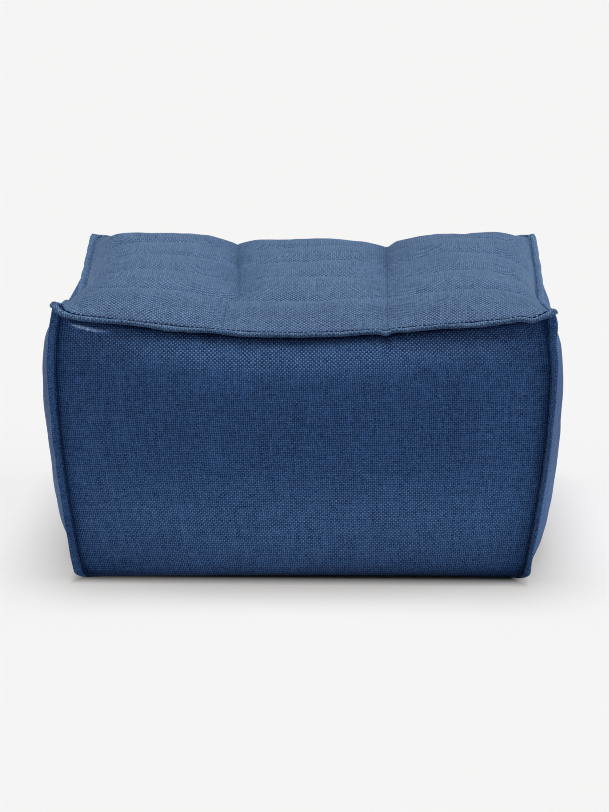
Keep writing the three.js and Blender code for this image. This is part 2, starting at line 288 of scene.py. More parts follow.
def corner_spread(axis, level):
    """How far the corner seams stand outside the top seam in x or in y, at a share of the height."""
    above = np.clip((level - WAIST_LEVEL) / (1 - WAIST_LEVEL), 0, 1)
    below = np.clip(1 - level / WAIST_LEVEL, 0, 1)
    waist = WAIST_SPREAD[axis]
    high = waist * (1 - above ** WAIST_SHAPE["above"])
    low = waist - (BASE_INSET[axis] + waist) * below ** WAIST_SHAPE["below"]
    return np.where(level > WAIST_LEVEL, high, low)


def bulge(name, s, level):
    """How far a side bows out of its corner seams, at s along it and at a share of the height."""
    along = 1 - np.abs(s) ** BULGE_ALONG
    up = np.clip(1 - np.abs(2 * level - 1) ** BULGE_UP[name], 0, 1) ** BULGE_SHOULDER[name]
    return along * (BULGE[name] * up + BASE_BULGE[name] * (1 - level) ** 2)


def column_seam(index, y):
    """How far to the right the line beside a column runs, at each y; the first and last are the edges."""
    left = LEFT_COLUMN_SEAM
    drift = np.maximum(0, (y - left["step_to"]) / (TOP_HALF_DEPTH - left["step_to"]))
    rest = lerp(left["step"], left["back"], drift)
    stepped = lerp(left["front"], rest, smooth(left["step_from"], left["step_to"], y))
    flat = np.zeros_like(y)
    return [flat - TOP_HALF_WIDTH, stepped, flat + RIGHT_COLUMN_SEAM, flat + TOP_HALF_WIDTH][index]


def closer_at_ends(t):
    """Spreads even steps from 0 to 1 so that they lie closer together near both ends."""
    return lerp(t, (1 - np.cos(math.pi * t)) / 2, 0.75)


def pushed(points):
    """Moves points, an array of x, y and z, by all the soft pushes."""
    moved = points.copy()
    for centre, reach, shift in PUSHES:
        away = ((points - centre) / reach) ** 2
        moved += np.exp(-away.sum(axis=1))[:, None] * shift
    return moved


class Top:
    """Grid over the top, front row first: place, column and row, and the position in the pillow."""

    def __init__(self):
        j = np.arange(CELLS_Y + 1)
        row = np.minimum(ROWS - 1, j // CELLS_PER_ROW)
        along = closer_at_ends(j / CELLS_PER_ROW - row)
        y = TOP_HALF_DEPTH * (2 * (row + along) / ROWS - 1)
        i = np.arange(CELLS_X + 1)
        column = np.minimum(COLUMNS - 1, i // CELLS_PER_COLUMN)
        across = closer_at_ends(i / CELLS_PER_COLUMN - column)
        lines = np.array([column_seam(n, y) for n in range(COLUMNS + 1)])
        self.x = lerp(lines[column], lines[column + 1], across[:, None]).T
        self.y = np.repeat(y[:, None], CELLS_X + 1, axis=1)
        self.u = self.x / TOP_HALF_WIDTH
        self.v = self.y / TOP_HALF_DEPTH
        self.column = np.repeat(column[None, :], CELLS_Y + 1, axis=0)
        self.across = np.repeat(across[None, :], CELLS_Y + 1, axis=0)
        self.row = np.repeat(row[:, None], CELLS_X + 1, axis=1)
        self.along = np.repeat(along[:, None], CELLS_X + 1, axis=1)

    def under(self):
        return seam_surface(self.u, self.v) + UNDER_CROWN * (1 - self.u**2) * (1 - self.v**2)

    def ridge(self):
        at = np.clip(self.row + self.along - 1, 0, ROWS - 2)
        rows = np.arange(ROWS - 1)
        heights = [np.interp(at, rows, RIDGES[name]) for name in ("left", "middle", "right")]
        return np.choose(self.column, heights)

    def upper(self):
        a = 2 * self.across - 1
        b = 2 * self.along - 1
        crown = SHEET_CROWN * (1 - self.u**CROWN_POWER) * (1 - self.v**2) * (1 - CROWN_SKEW * self.v)
        outer = ((self.column == 0) & (a < 0)) | ((self.column == COLUMNS - 1) & (a > 0))
        power = np.where(outer, BARREL_SHAPE["outer"], BARREL_SHAPE["inner"])
        barrel = (1 - np.abs(a) ** power) ** BARREL_SHAPE["shoulder"]
        puff = PILLOW_PUFF * (1 - b * b) ** PUFF_POWER
        fade = (1 - np.abs(self.v) ** FADE_SHAPE["power"]) ** FADE_SHAPE["shoulder"]
        return seam_surface(self.u, self.v) + PAD_RIM + crown + barrel * (self.ridge() + puff) * fade

    def edge_distance(self):
        return np.minimum(TOP_HALF_WIDTH - np.abs(self.x), TOP_HALF_DEPTH - np.abs(self.y))

    def column_distance(self):
        """Distance to the nearer of the two seams between the columns."""
        first = np.abs(self.x - column_seam(1, self.y[:, 0])[:, None])
        second = np.abs(self.x - column_seam(2, self.y[:, 0])[:, None])
        return np.minimum(first, second)


TOP = Top()

# Grid points along each side's seam, walked anticlockwise as seen from above
RIM = {
    "front": [(0, i) for i in range(CELLS_X + 1)],
    "right": [(j, CELLS_X) for j in range(CELLS_Y + 1)],
    "back": [(CELLS_Y, CELLS_X - i) for i in range(CELLS_X + 1)],
    "left": [(CELLS_Y - j, 0) for j in range(CELLS_Y + 1)],
}


def rim_values(name, grid):
    rows, columns = np.array(RIM[name]).T
    return grid[rows, columns]


def side_points(name, spread, bow, z):
    """Points along a side: its corners stand a given way out in x and in y, and it bows out from there."""
    side = SIDES[name]
    half_x = TOP_HALF_WIDTH + spread[0]
    half_y = TOP_HALF_DEPTH + spread[1]
    if side["along_x"]:
        x = rim_values(name, TOP.u) * (half_x - CORNER_SETBACK)
        y = side["out"] * (half_y + bow) + 0 * x
    else:
        y = rim_values(name, TOP.v) * (half_y - CORNER_SETBACK)
        x = side["out"] * (half_x + bow) + 0 * y
    return np.stack([x, y, z + 0 * x], axis=1)


class Skin:
    """Collects the points, faces and cloth coordinates of one closed surface, in millimetres."""

    def __init__(self):
        self.points = []
        self.cloth = []
        self.painted_shade = []
        self.painted_light = []
        self.faces = []
        self.count = 0

    def add(self, points, cloth, painted_shade=0.0, painted_light=0.0):
        start = self.count
        self.points.append(points)
        self.cloth.append(cloth)
        self.painted_shade.append(np.zeros(len(points)) + painted_shade)
        self.painted_light.append(np.zeros(len(points)) + painted_light)
        self.count += len(points)
        return np.arange(start, self.count)

    def band(self, low, high, closed=True):
        """Faces between two rows of as many points each."""
        next_low = np.roll(low, -1)
        next_high = np.roll(high, -1)
        quads = np.stack([low, next_low, next_high, high], axis=1)
        self.faces.extend((quads if closed else quads[:-1]).tolist())

    def cap(self, ring, points, cloth, painted_shade, looks_up):
        """Grid over the top inside a ring of the four sides' points."""
        grid = np.full((CELLS_Y + 1, CELLS_X + 1), -1)
        for name, line in ring.items():
            for place, point in zip(RIM[name][1:-1], line[1:-1]):
                grid[place] = point
        middle = slice(1, -1), slice(1, -1)
        inside = self.add(points[middle].reshape(-1, 3), cloth[middle].reshape(-1, 2), painted_shade[middle].ravel())
        grid[1:-1, 1:-1] = inside.reshape(CELLS_Y - 1, CELLS_X - 1)
        quads = np.stack([grid[:-1, :-1], grid[:-1, 1:], grid[1:, 1:], grid[1:, :-1]], axis=2).reshape(-1, 4)
        quads = quads[(quads >= 0).all(axis=1)]
        corners = {
            "front": (1, 1, "left"),
            "right": (1, -2, "front"),
            "back": (-2, -2, "right"),
            "left": (-2, 1, "back"),
        }
        fans = [
            [grid[j, i], ring[before][-2], ring[before][-1], ring[name][0], ring[name][1]]
            for name, (j, i, before) in corners.items()
        ]
        faces = quads.tolist() + [[int(p) for p in fan] for fan in fans]
        self.faces.extend(face if looks_up else face[::-1] for face in faces)

    def piece(self, name, material, replaced):
        points = pushed(np.concatenate(self.points))
        points[:, 2] = np.maximum(points[:, 2], 0)
        points = (points + [CENTRE_SHIFT, 0, 0]) * MM
        mesh = bpy.data.meshes.new(name)
        mesh.from_pydata(points.tolist(), [], self.faces)
        mesh.update()
        cloth = np.concatenate(self.cloth)
        layer = mesh.uv_layers.new(name="cloth")
        corners = np.zeros(len(mesh.loops), np.int32)
        mesh.loops.foreach_get("vertex_index", corners)
        layer.data.foreach_set("uv", cloth[corners].astype(np.float32).ravel())
        # Painted shade and painted light for each point, read by the cloth's colour
        for kind, values in (("painted_shade", self.painted_shade), ("painted_light", self.painted_light)):
            tone = mesh.attributes.new(kind, "FLOAT", "POINT")
            tone.data.foreach_set("value", np.concatenate(values).astype(np.float32))
        mesh.shade_smooth()
        mesh.materials.append(material)
        made = bpy.data.objects.new(name, mesh)
        bpy.context.scene.collection.objects.link(made)
        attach(made, "root")
        if replaced:
            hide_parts(*replaced)
        return made


# Cloth


class Graph:
    """Short names for the nodes of one material."""

    def __init__(self, name):
        self.material = bpy.data.materials.new(name)
        self.material.use_nodes = True
        self.nodes = self.material.node_tree.nodes
        self.links = self.material.node_tree.links
        self.shader = self.nodes["Principled BSDF"]

    def feed(self, socket, value):
        if isinstance(value, bpy.types.NodeSocket):
            self.links.new(value, socket)
        elif value is not None:
            socket.default_value = value

    def math(self, operation, a, b=None, c=None):
        node = self.nodes.new("ShaderNodeMath")
        node.operation = operation
        for socket, value in zip(node.inputs, (a, b, c)):
            self.feed(socket, value)
        return node.outputs[0]

    def add(self, a, b):
        return self.math("ADD", a, b)

    def times(self, a, b):
        return self.math("MULTIPLY", a, b)

    def blend(self, a, b, share):
        return self.add(a, self.times(self.math("SUBTRACT", b, a), share))

    def point(self, x, y, z=0.0):
        node = self.nodes.new("ShaderNodeCombineXYZ")
        for socket, value in zip(node.inputs, (x, y, z)):
            self.feed(socket, value)
        return node.outputs[0]

    def attribute(self, name):
        node = self.nodes.new("ShaderNodeAttribute")
        node.attribute_name = name
        return node.outputs["Fac"]

    def clip(self, value, most):
        return self.math("MINIMUM", self.math("MAXIMUM", value, 0.0), most)

    def noise(self, place, scale, detail=2.0, roughness=0.5):
        node = self.nodes.new("ShaderNodeTexNoise")
        self.feed(node.inputs["Vector"], place)
        node.inputs["Scale"].default_value = scale
        node.inputs["Detail"].default_value = detail
        node.inputs["Roughness"].default_value = roughness
        return node.outputs["Fac"]

    def tint(self, share, dark, light):
        node = self.nodes.new("ShaderNodeMix")
        node.data_type = "RGBA"
        self.feed(node.inputs[0], share)
        self.feed(node.inputs[6], dark)
        self.feed(node.inputs[7], light)
        return node.outputs[2]


# Tints are linear red, green and blue, and 1 for solid
YARN_DARK = (0.001, 0.009, 0.060, 1)
YARN_LIGHT = (0.075, 0.184, 0.440, 1)
# The top's cloth, painted lighter than the same cloth on the sides, to stand for the stronger light from
# above
PAINTED_LIT_DARK = (0.012, 0.030, 0.088, 1)
PAINTED_LIT_LIGHT = (0.155, 0.264, 0.455, 1)
# The top flanges' cloth, painted lighter than the same cloth on the corner flanges, to stand for the light
# from above
LIP_PAINTED_LIGHT = (0.170, 0.300, 0.510, 1)
# Tint of the painted glints on the knots
PAINTED_GLINT_TINT = (0.26, 0.40, 0.64, 1)
# Tint of the painted highlight on the sharp fold
PAINTED_FOLD_HIGHLIGHT = (0.42, 0.58, 0.92, 1)
THREAD_DARK = (0.004, 0.012, 0.048, 1)
THREAD_LIGHT = (0.010, 0.025, 0.080, 1)
# Strength of the painted glints
PAINTED_GLINT_KNOTS = 5.0
# How far full painted shade darkens the cloth towards its dark yarn
CREASE_SHADE = 0.85
# The sharp fold's paleness is a painted highlight
FOLD_PAINTED_LIGHT = 0.45        # how much paler the sharp fold is
# How much each unevenness of the cloth changes its tone
TONE_WEIGHT = {"yarn": 0.8, "streak": 0.35, "fleck": 0.6, "crossing": 0.6, "patch": 0.12}
YARN_SWAY = 1.8          # how far the yarns wander, in yarns
YARN_ROUND = 0.7         # below 1, a yarn is flatter on top than a wave


def woven_cloth(name, relief, dark, light, contrast, gloss, sheen, sheen_tint):
    """Coarse plain weave of uneven yarns, laid out in millimetres along the cloth.

    The relief is the weave's depth. The contrasts are those of the knots, the upright yarns and the level
    yarns."""
    g = Graph(name)
    source = g.nodes.new("ShaderNodeUVMap")
    source.uv_map = "cloth"
    split = g.nodes.new("ShaderNodeSeparateXYZ")
    g.feed(split.inputs[0], source.outputs[0])
    u, v = split.outputs[0], split.outputs[1]

    # The yarns wander a little from their even spacing.
    sway_u = g.noise(g.point(g.times(u, 0.015), g.times(v, 0.03)), 1.0, 5.0, 0.72)
    sway_v = g.noise(g.point(g.times(u, 0.03), g.times(v, 0.015), 7.0), 1.0, 5.0, 0.72)
    a = g.add(g.times(u, 1 / WARP_PITCH), g.times(g.math("SUBTRACT", sway_u, 0.5), YARN_SWAY))
    b = g.add(g.times(v, 1 / WEFT_PITCH), g.times(g.math("SUBTRACT", sway_v, 0.5), YARN_SWAY))
    i, j = g.math("FLOOR", a), g.math("FLOOR", b)
    across_warp = g.math("SUBTRACT", g.math("SUBTRACT", a, i), 0.5)
    across_weft = g.math("SUBTRACT", g.math("SUBTRACT", b, j), 0.5)
    odd = g.math("FLOORED_MODULO", g.add(i, j), 2.0)
    side = g.math("MULTIPLY_ADD", odd, -2.0, 1.0)

    round_warp = g.math("COSINE", g.times(across_warp, math.pi))
    round_weft = g.math("COSINE", g.times(across_weft, math.pi))
    warp_over = g.math("MULTIPLY_ADD", g.times(round_weft, side), 0.5, 0.5)
    weft_over = g.math("MULTIPLY_ADD", g.times(round_warp, side), -0.5, 0.5)
    warp = g.times(g.math("POWER", round_warp, YARN_ROUND), warp_over)
    weft = g.times(g.math("POWER", round_weft, YARN_ROUND), weft_over)
    height = g.math("MAXIMUM", warp, weft)
    on_warp = g.math("GREATER_THAN", warp, weft)

    # Each yarn has its own tone, which changes along its length, and so has each crossing of two yarns.
    warp_tone = g.noise(g.point(g.times(i, 3.7), g.times(v, 0.02)), 1.0, 3.0, 0.7)
    weft_tone = g.noise(g.point(g.times(u, 0.02), g.times(j, 3.7), 11.0), 1.0, 3.0, 0.7)
    tone = g.blend(weft_tone, warp_tone, on_warp)
    warp_streak = g.noise(g.point(g.times(i, 0.45), g.times(v, 0.006), 17.0), 1.0, 2.0, 0.6)
    weft_streak = g.noise(g.point(g.times(u, 0.009), g.times(j, 0.55), 23.0), 1.0, 2.0, 0.6)
    streak = g.blend(weft_streak, warp_streak, on_warp)
    fleck = g.noise(g.point(u, v, 3.0), 0.9, 3.0, 0.7)
    patch = g.noise(g.point(u, v, 5.0), 0.012, 3.0, 0.6)
    crossing = g.noise(g.point(g.times(i, 5.3), g.times(j, 5.3), 29.0), 1.0, 0.0)

    # Knots of the level yarns are the palest, most of all under the painted light, which also lightens the
    # cloth; the gaps between the yarns are dark.
    painted_light = g.attribute("painted_light")
    painted_shade = g.attribute("painted_shade")
    knot = g.times(g.times(round_warp, round_weft), side)
    clear = g.math("MULTIPLY_ADD", painted_light, -0.9 * contrast[0], -0.35 * contrast[0])
    share = g.math("MULTIPLY_ADD", knot, clear, 0.5 - 0.6 * (contrast[1] + contrast[2]))
    share = g.add(share, g.times(painted_light, 0.12))
    share = g.add(share, g.times(g.math("POWER", round_warp, 1.5), contrast[1]))
    share = g.add(share, g.times(g.math("POWER", round_weft, 1.5), contrast[2]))
    tones = {"yarn": tone, "streak": streak, "fleck": fleck, "crossing": crossing, "patch": patch}
    for kind, weight in TONE_WEIGHT.items():
        share = g.add(share, g.times(g.math("SUBTRACT", tones[kind], 0.5), weight))
    share = g.times(share, g.math("MULTIPLY_ADD", painted_shade, -CREASE_SHADE, 1.0))
    # Painted shade well below 0 is painted light: the highlight painted on the sharp fold.
    fold_brightening = g.math("MAXIMUM", g.math("MULTIPLY_ADD", painted_shade, -1.0, -0.5), 0.0)
    share = g.add(share, g.times(fold_brightening, FOLD_PAINTED_LIGHT))
    clamp = g.nodes.new("ShaderNodeClamp")
    g.feed(clamp.inputs["Value"], share)
    colour = g.tint(clamp.outputs[0], dark, light)
    # Painted glints: here and there a knot of a level yarn is nearly white under the painted light, and cloth
    # lightened past its light tint turns paler too.
    glint_share = g.math("MULTIPLY_ADD", g.times(knot, g.math("SUBTRACT", fleck, 0.42)), -PAINTED_GLINT_KNOTS, 0.0)
    glint_share = g.times(g.times(glint_share, painted_light), g.math("MULTIPLY_ADD", weft_tone, 3.0, -0.5))
    glint_share = g.math("MAXIMUM", glint_share, g.times(g.math("SUBTRACT", share, 1.0), 1.2))
    colour = g.tint(g.clip(glint_share, 0.8), colour, PAINTED_GLINT_TINT)
    # The painted highlight on the sharp fold is paler still, some crossings more than others.
    fold_highlight_share = g.math("MAXIMUM", g.math("MULTIPLY_ADD", painted_shade, -0.75, -0.45), 0.0)
    fold_highlight_share = g.times(fold_highlight_share, g.math("MULTIPLY_ADD", crossing, 4.0, -1.2))
    colour = g.tint(g.clip(fold_highlight_share, 0.9), colour, PAINTED_FOLD_HIGHLIGHT)
    g.feed(g.shader.inputs["Base Color"], colour)

    rough = g.math("MULTIPLY_ADD", fleck, 0.2, 0.42)
    g.feed(g.shader.inputs["Roughness"], rough)
    bump = g.nodes.new("ShaderNodeBump")
    bump.inputs["Strength"].default_value = 1.0
    bump.inputs["Distance"].default_value = relief * MM
    surface = g.blend(height, weft, 0.4)
    surface = g.add(surface, g.times(fleck, 0.25))
    surface = g.add(surface, g.times(tone, 0.3))
    g.feed(bump.inputs["Height"], surface)
    g.feed(g.shader.inputs["Normal"], bump.outputs[0])
    g.shader.inputs["Specular IOR Level"].default_value = gloss
    g.shader.inputs["Sheen Weight"].default_value = sheen
    g.shader.inputs["Sheen Roughness"].default_value = 0.35
    g.shader.inputs["Sheen Tint"].default_value = (*sheen_tint, 1)
    return g.material


def thread_material():
    g = Graph("thread")
    place = g.nodes.new("ShaderNodeTexCoord").outputs["Object"]
    twist = g.nodes.new("ShaderNodeTexWave")
    twist.bands_direction = "DIAGONAL"
    twist.inputs["Scale"].default_value = 500
    g.feed(twist.inputs["Vector"], place)
    g.feed(g.shader.inputs["Base Color"], g.tint(twist.outputs["Fac"], THREAD_DARK, THREAD_LIGHT))
    bump = g.nodes.new("ShaderNodeBump")
    bump.inputs["Strength"].default_value = 0.4
    bump.inputs["Distance"].default_value = 0.2 * MM
    g.feed(bump.inputs["Height"], twist.outputs["Fac"])
    g.feed(g.shader.inputs["Normal"], bump.outputs[0])
    g.shader.inputs["Roughness"].default_value = 0.9
    g.shader.inputs["Specular IOR Level"].default_value = 0.1
    return g.material


SIDE_CLOTH = woven_cloth(
    "side_cloth",
    relief=1.5,
    dark=YARN_DARK,
    light=YARN_LIGHT,
    contrast=(0.4, 0.5, 0.28),
    gloss=0.04,
    sheen=0.15,
    sheen_tint=(0.45, 0.7, 1.0),
)
# Painted lit copy of the side cloth, lighter for the light from above
TOP_CLOTH = woven_cloth(
    "top_cloth",
    relief=0.7,
    dark=PAINTED_LIT_DARK,
    light=PAINTED_LIT_LIGHT,
    contrast=(1.4, 0.3, 0.05),
    gloss=0.06,
    sheen=0.26,
    sheen_tint=(0.6, 0.82, 1.0),
)
FLANGE_CLOTH = woven_cloth(
    "flange_cloth",
    relief=0.9,
    dark=YARN_DARK,
    light=YARN_LIGHT,
    contrast=(0.5, 0.3, 0.2),
    gloss=0.04,
    sheen=0.3,
    sheen_tint=(0.6, 0.82, 1.0),
)
# Painted lit copy of the flange cloth, lighter for the light from above
TOP_FLANGE_CLOTH = woven_cloth(
    "top_flange_cloth",
    relief=0.9,
    dark=YARN_DARK,
    light=LIP_PAINTED_LIGHT,
    contrast=(0.8, 0.4, 0.1),
    gloss=0.04,
    sheen=0.15,
    sheen_tint=(0.5, 0.78, 1.0),
)
THREAD = thread_material()


# Filled body


def calm_up(level):
    """Fades what the seams do to the cloth where a side meets the top or the floor."""
    return np.clip(level / 0.05, 0, 1) * np.clip((1 - level) / 0.05, 0, 1)


def sharp_fold(x, z):
    """The short sharp fold that runs down from the left end of the front's top seam, from 0 to 1."""
    (start_x, start_z), (end_x, end_z) = FOLD["start"], FOLD["end"]
    along = (x - start_x) / (end_x - start_x)
    line = lerp(start_z, end_z, along) - FOLD["sag"] * np.sin(math.pi * np.clip(along, 0, 1))
    return hump(z, 1, line, FOLD["width"]) * smooth(-0.2, 0.2, along) * (1 - smooth(0.5, 1.1, along))


def side_painted_shade(name, x, z, corner, below_top, fold):
    """Painted shade on a side panel: by its seams, at the floor and below the right half of the front flange,
    less of it in a band above the floor, and below 0, painted light, on the sharp fold.
    """
    painted_shade = fading(corner, *SIDE_SHADE["corner"]) + fading(below_top, *SIDE_SHADE["top"])
    painted_shade = painted_shade + fading(z, *SIDE_SHADE["floor"]) - 0.5 * hump(z, *PAINTED_LIGHT_LOW) - 2.5 * fold
    if name == "front":
        painted_shade = painted_shade + smooth(60, 200, x) * hump(below_top, *RIGHT_HALF_SHADE)
    return np.minimum(1, painted_shade)


def body_ring(skin, level, tuck=0.0, fixed=None):
    """One ring of points round the body, at a share of its height, or all of it at one fixed height.

    The tuck draws it in on all sides."""
    ring = {}
    for name, side in SIDES.items():
        along_x = side["along_x"]
        s = rim_values(name, TOP.u if along_x else TOP.v)
        top = rim_values(name, TOP.under()) - GAP
        z = fixed + 0 * s if fixed is not None else level * top
        bow = bulge(name, s, level)
        half = TOP_HALF_WIDTH if along_x else TOP_HALF_DEPTH
        # Soft unevenness of the stuffing, none at the seams
        calm = (1 - s**4) * np.clip(1 - (2 * level - 1) ** 6, 0, 1)
        seed = list(SIDES).index(name)
        x = s * half
        bow = bow + calm * swells(x, z, SIDE_SWELLS, seed)
        # The corner seams pull the cloth in, and it turns under at the floor
        corner = half * (1 - np.abs(s))
        pull = fading(corner, SEAM_PULL, SEAM_PULL_FAR) - fading(corner, SEAM_PULL, SEAM_PULL_NEAR)
        bow = bow - pull * calm_up(level)
        bow = bow - UNDER_TURN * np.clip(1 - z / UNDER_HEIGHT, 0, 1) ** 2 * (1 - s**6)
        fold = sharp_fold(x, z) if name == "front" else 0
        bow = bow + FOLD["out"] * fold
        spread = [corner_spread(axis, level) - tuck for axis in ("x", "y")]
        points = side_points(name, spread, bow, z)
        # The cloth is longer than the side is high, because it bows out
        up = WEAVE_STRETCH * z + (WEAVE_BOW - WEAVE_BOW_LOSS * level) * (BULGE[name] - bow)
        cloth = np.stack([x + WEAVE_SLANT * z, up], axis=1)
        # Painted light below the top flange, and a little in a band above the floor
        painted_light = (hump(top - z, *PAINTED_LIGHT_BELOW_TOP) + hump(z, *PAINTED_LIGHT_LOW)) * (1 - np.abs(s) ** 4)
        painted_shade = side_painted_shade(name, x, z, corner, top - z, fold)
        ring[name] = skin.add(points, cloth, painted_shade, painted_light)
    return ring


def make_body():
    skin = Skin()
    rings = []
    full_height = TOP_SEAMS["front"]["level"]
    for n in range(ROUND_STEPS):
        turn = math.pi / 2 * n / ROUND_STEPS
        z = BASE_ROUND * (1 - math.cos(turn))
        rings.append(body_ring(skin, z / full_height, BASE_ROUND * (1 - math.sin(turn)), z))
    first = BASE_ROUND / full_height
    for n in range(HEIGHT_STEPS + 1):
        rings.append(body_ring(skin, lerp(first, 1, 1 - (1 - n / HEIGHT_STEPS) ** 1.25)))
    for low, high in zip(rings, rings[1:]):
        skin.band(np.concatenate(list(low.values())), np.concatenate(list(high.values())))
    under = np.stack([TOP.x, TOP.y, TOP.under() - GAP], axis=2)
    skin.cap(rings[-1], under, under[:, :, :2], 0 * TOP.x, True)
    hub = skin.add(np.zeros((1, 3)), np.zeros((1, 2)))[0]
    base = np.concatenate(list(rings[0].values()))
    skin.faces.extend([int(hub), int(b), int(a)] for a, b in zip(base, np.roll(base, -1)))
    skin.piece("body_cloth", SIDE_CLOTH, ["body"])


# Quilted pad


def pad_surface():
    """Upper side of the pad: its pillows with the groove along the flanges and the cloth's unevenness."""
    edge = TOP.edge_distance()
    seam = TOP.column_distance()
    inside = smooth(0, 40, edge)
    upper = TOP.upper() - GROOVE_DEPTH * (1 - smooth(0, GROOVE_WIDTH, edge))
    upper = upper + hump(seam, SEAM_FILL, 0, 4) * (1 - smooth(-0.4, 0.6, TOP.v)) * inside
    upper = upper + inside * swells(TOP.x, TOP.y, PAD_SWELLS)
    # Small puckers beside the column seams and along the edge
    pull = fading(seam, 0.8, 14) * smooth(0, 3, seam)
    upper = upper + pull * swells(TOP.x * 0.35, TOP.y, PUCKERS_BY_COLUMN)
    tuck = fading(edge, 0.4, 10) * smooth(0, 3, edge)
    return upper + tuck * swells(TOP.x, TOP.y, PUCKERS_BY_EDGE)


def pad_painted_shade(ear):
    """Painted shade on the pad: by its edges and column seams, and a little across the first row of pillows.
    """
    beside = np.where(TOP.x < 0, SEAM_SHADE["left"], SEAM_SHADE["right"])
    painted_shade = fading(TOP_HALF_WIDTH - np.abs(TOP.x), beside, PAD_SIDE_FADE)
    painted_shade = painted_shade + fading(TOP_HALF_DEPTH - np.abs(TOP.y), *PAD_SHADE["front_back"])
    painted_shade = painted_shade + fading(TOP.column_distance(), *PAD_SHADE["columns"])
    painted_shade = painted_shade + hump(TOP.y + TOP_HALF_DEPTH, *FIRST_ROW_SHADE)
    return np.minimum(1, painted_shade) * (1 - EAR_SHINE * ear)


def make_quilted_top():
    skin = Skin()
    under = TOP.under()
    upper = pad_surface()
    ear = np.abs(TOP.u * TOP.v) ** 8
    painted_shade = pad_painted_shade(ear)
    cloth = np.stack([TOP.x, TOP.y], axis=2)
    low, high = {}, {}
    for name in SIDES:
        for ring, grid in ((low, under), (high, upper)):
            z = rim_values(name, grid)
            shade = SEAM_SHADE[name] * (1 - EAR_SHINE * rim_values(name, ear))
            ring[name] = skin.add(side_points(name, (0, 0), 0, z), rim_values(name, cloth), shade)
    skin.band(np.concatenate(list(low.values())), np.concatenate(list(high.values())))
    skin.cap(low, np.stack([TOP.x, TOP.y, under], axis=2), cloth, painted_shade, False)
    skin.cap(high, np.stack([TOP.x, TOP.y, upper], axis=2), cloth, painted_shade, True)
    skin.piece("quilted_cloth", TOP_CLOTH, ["quilted_top"])


# Flanges


# Points along a stitch: share of its length, share of its girth and height over the cloth
STITCH_FORM = [(-0.5, 0.55, -0.6), (-0.36, 0.95, 0.0), (0, 1, 0.15), (0.36, 0.95, 0.0), (0.5, 0.55, -0.6)]


def point_on(line, run, distance):
    """The point of a line of points at a distance along it; run holds the distance of each point."""
    return np.array([np.interp(distance, run, line[:, k]) for k in range(3)])


def sew(place, seams):
    """One piece with the stitches of one or two seams, each a line of points and the way out of the cloth.

    A stitch lies on the cloth and dives into it at its ends."""
    kind = place if place in SIDES else "corner"
    skin = Skin()
    turns = np.linspace(0, 2 * math.pi, THREAD_SIDES + 1)[:-1]
    for line, up in seams:
        run = np.concatenate([[0], np.cumsum(np.linalg.norm(np.diff(line, axis=0), axis=1))])
        for middle in np.arange(STITCH_PITCH, run[-1] - STITCH_PITCH / 2, STITCH_PITCH):
            rings = []
            for share, girth, rise in STITCH_FORM:
                at = middle + share * STITCH_LENGTH
                centre = point_on(line, run, at) + up * (rise + THREAD_HEIGHT[kind])
                ahead = point_on(line, run, at + 1) - point_on(line, run, at - 1)
                ahead = ahead / np.linalg.norm(ahead)
                across = np.cross(up, ahead)
                across = across / np.linalg.norm(across)
                over = np.cross(ahead, across)
                radius = THREAD_RADIUS[kind] * girth
                ring = centre + radius * (np.outer(np.cos(turns), across) + np.outer(np.sin(turns), over))
                rings.append(skin.add(ring, np.stack([turns, 0 * turns + at], axis=1)))
            close_strip(skin, rings)
    skin.piece(f"stitches_{place}", THREAD, [])


def flange_section(width, groove_both):
    """Section of a flange as distance from the seam and height over its middle, anticlockwise from below.

    The stitches pinch its upper face, or both faces. Its heights are shares of half its thickness."""
    half = FLANGE_THICKNESS / 2
    pinch = 0.62
    shoulder = 4.5
    low_seam, low_pinch = (0.8, pinch) if groove_both else (1, 0.95)
    floor = [(-BURIED, -half * 0.4), (0, -half * low_seam), (STITCH_AWAY, -half * low_pinch)]
    floor += [(shoulder, -half * 0.92), (width - half, -half)]
    lip = [
        (width - half + half * math.cos(t), half * math.sin(t))
        for t in np.linspace(-math.pi / 2, math.pi / 2, 9)[1:-1]
    ]
    roof = [(width - half, half), (shoulder, half * 0.92), (3.2, half * 0.75)]
    roof += [(STITCH_AWAY, half * pinch), (1, half * 0.66), (0, half * 0.6), (-BURIED, half * 0.4)]
    return np.array(floor + lip + roof)


# Which points of that section lie under the stitches, on its upper and lower face
GROOVE_TOP = -4
GROOVE_LOW = 2


def section_girth(away, over):
    """Distance of each point of a section from its first, measured round the section."""
    return np.cumsum(np.hypot(np.diff(away, prepend=away[0]), np.diff(over, prepend=over[0])))


def close_strip(skin, rings):
    """Joins the rings of a strip, each a section's points, and closes its two ends."""
    for low, high in zip(rings, rings[1:]):
        skin.band(low, high)
    skin.faces.append(rings[0][::-1].tolist())
    skin.faces.append(rings[-1].tolist())


